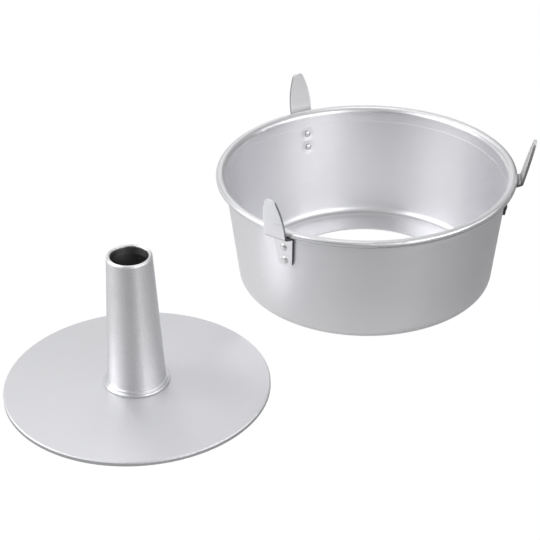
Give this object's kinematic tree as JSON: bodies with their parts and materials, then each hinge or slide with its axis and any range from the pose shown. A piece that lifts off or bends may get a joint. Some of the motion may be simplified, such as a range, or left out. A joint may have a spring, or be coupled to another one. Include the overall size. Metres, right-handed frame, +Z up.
{
  "type": "angel food cake pan",
  "caption": "Round tapered cake pan with a rolled rim, riveted cooling feet and an open floor, beside its lift-out base plate with a tapered centre tube.",
  "frame": {"origin": "centre of the pan's floor opening, at the table that the pan and its base stand on", "axes": "+Z up through the pan's open top; +X to the right and +Y away from the viewer, as in the picture"},
  "size_m": [0.4634, 0.43, 0.1416],
  "materials": {
    "pan_sheet": "satin, spun",
    "foot_strip": "satin, stamped",
    "rivet_metal": "bright, hammered",
    "plate_sheet": "matt satin",
    "tube_sheet": "fine-grained satin"
  },
  "bodies": {
    "pan": {"pan_body": "pan_sheet", "foot_back": "foot_strip", "foot_right": "foot_strip", "foot_front": "foot_strip", "rivet_back_upper": "rivet_metal", "rivet_back_lower": "rivet_metal", "rivet_right_upper": "rivet_metal", "rivet_right_lower": "rivet_metal", "rivet_front_upper": "rivet_metal", "rivet_front_lower": "rivet_metal"},
    "base": {"base_plate": "plate_sheet", "centre_tube": "tube_sheet"}
  },
  "joints": [
    {"name": "base_lift", "type": "slide", "parent": "pan", "child": "base", "axis": [0, 0, 1], "range_m": [0, 0.15]}
  ]
}
